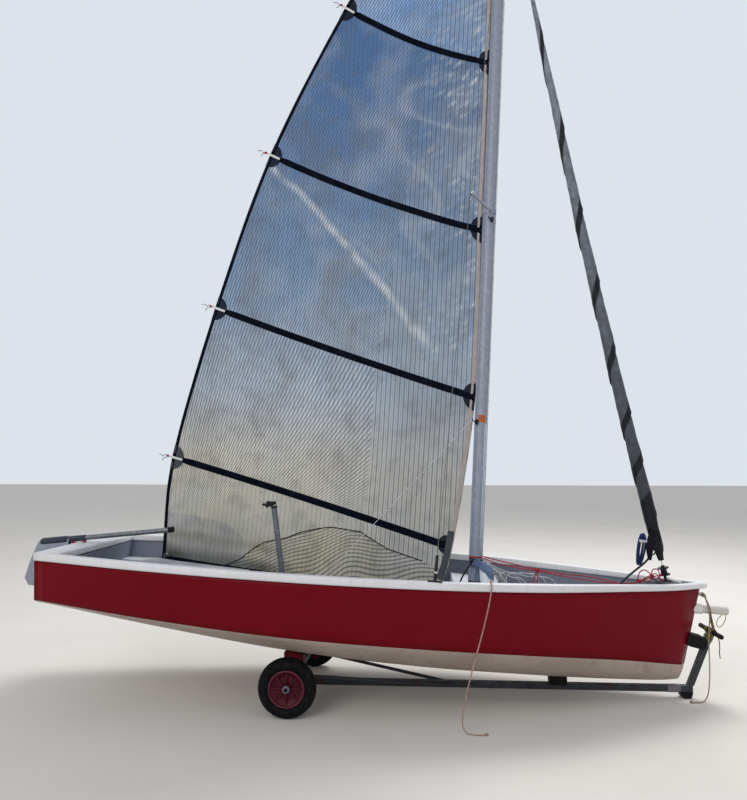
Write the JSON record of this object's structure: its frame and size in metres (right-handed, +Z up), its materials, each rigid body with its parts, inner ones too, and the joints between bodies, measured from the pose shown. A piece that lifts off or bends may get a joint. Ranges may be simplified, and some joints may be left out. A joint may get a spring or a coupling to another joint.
{
  "type": "sailing dinghy",
  "caption": "Open sailing dinghy with a hoisted mainsail, a furled jib and a sliding gennaker pole, standing on its two-wheeled launching trolley.",
  "frame": {"origin": "centre of the footprint on the ground, under the middle of the bounding box without the free ropes", "axes": "+X to the bow, +Y to port, +Z up from the ground; the boat sits 4.2 degrees bow down on its trolley"},
  "size_m": [4.7843, 1.6138, 6.75],
  "materials": {
    "hull_red": "glossy moulded plastic",
    "hull_white": "glossy moulded plastic",
    "deck_grey": "textured deck moulding",
    "alloy": "anodised tube",
    "steel": "satin stainless steel",
    "sailcloth": "translucent laminate with dark threads",
    "furled_cloth": "rolled grey sailcloth with black bands",
    "batten": "black batten pocket",
    "black_plastic": "matt moulding",
    "white_plastic": "smooth moulding",
    "grey_tube": "smooth grey tube",
    "rubber": "soft black rubber",
    "pad_red": "soft red foam cover",
    "tyre": "pneumatic tyre",
    "rim_red": "red moulded rim",
    "trolley_steel": "dark grey galvanised and painted tube",
    "rope": "braided rope",
    "bag_cloth": "white coated bag cloth with a blue band"
  },
  "bodies": {
    "boat": {"aft_tank": "deck_grey", "axle_bracket": "trolley_steel", "battens": "batten", "boom": "alloy", "boom_ends": "black_plastic", "bow_deck": "black_plastic", "bow_eye": "steel", "bow_line": "rope", "bow_post": "trolley_steel", "bow_snubber": "rubber", "centreboard": "white_plastic", "centreboard_case": "deck_grey", "chainplates": "black_plastic", "cockpit_floor": "deck_grey", "cradle_pads": "pad_red", "cradle_posts": "trolley_steel", "drawbar_foot": "rubber", "foredeck": "deck_grey", "forestay": "steel", "furled_jib": "furled_cloth", "furler_drum": "black_plastic", "gudgeons": "steel", "gunwale": "hull_white", "hull_bottom": "hull_white", "inner_walls": "deck_grey", "keel_rest": "rubber", "mainsail": "sailcloth", "mainsheet_jammer": "black_plastic", "mainsheet_post": "grey_tube", "mast": "alloy", "mast_head": "alloy", "mast_step": "alloy", "mast_thwart": "deck_grey", "pole_bush": "black_plastic", "pole_guide": "white_plastic", "rope_cleat": "black_plastic", "sail_bag": "bag_cloth", "shroud_port": "steel", "shroud_starboard": "steel", "side_rope": "rope", "side_tank_port": "deck_grey", "side_tank_starboard": "deck_grey", "spreaders": "alloy", "topside_port": "hull_red", "topside_starboard": "hull_red", "tow_handle": "rubber", "transom": "hull_red", "trolley_axle": "trolley_steel", "trolley_braces": "trolley_steel", "trolley_drawbar": "trolley_steel"},
    "steering": {"rudder_stock": "alloy", "tiller": "grey_tube", "tiller_extension": "alloy", "tiller_joint": "rubber"},
    "bowsprit": {"gennaker_pole": "white_plastic"},
    "port_wheel": {"tyre_port": "tyre", "wheel_port": "rim_red"},
    "starboard_wheel": {"tyre_starboard": "tyre", "wheel_starboard": "rim_red"}
  },
  "joints": [
    {"name": "rudder_hinge", "type": "hinge", "parent": "boat", "child": "steering", "pos_m": [-2.07404, 0, 0.79332], "axis": [0.0732, 0, 0.9973], "range_deg": [-35, 35]},
    {"name": "pole_slide", "type": "slide", "parent": "boat", "child": "bowsprit", "axis": [0.9973, 0, -0.0732], "range_m": [0, 0.8]},
    {"name": "port_wheel_spin", "type": "hinge", "parent": "boat", "child": "port_wheel", "pos_m": [-0.4285, 0.55, 0.178], "axis": [0, 1, 0], "continuous": true},
    {"name": "starboard_wheel_spin", "type": "hinge", "parent": "boat", "child": "starboard_wheel", "pos_m": [-0.4285, -0.55, 0.178], "axis": [0, 1, 0], "continuous": true}
  ]
}
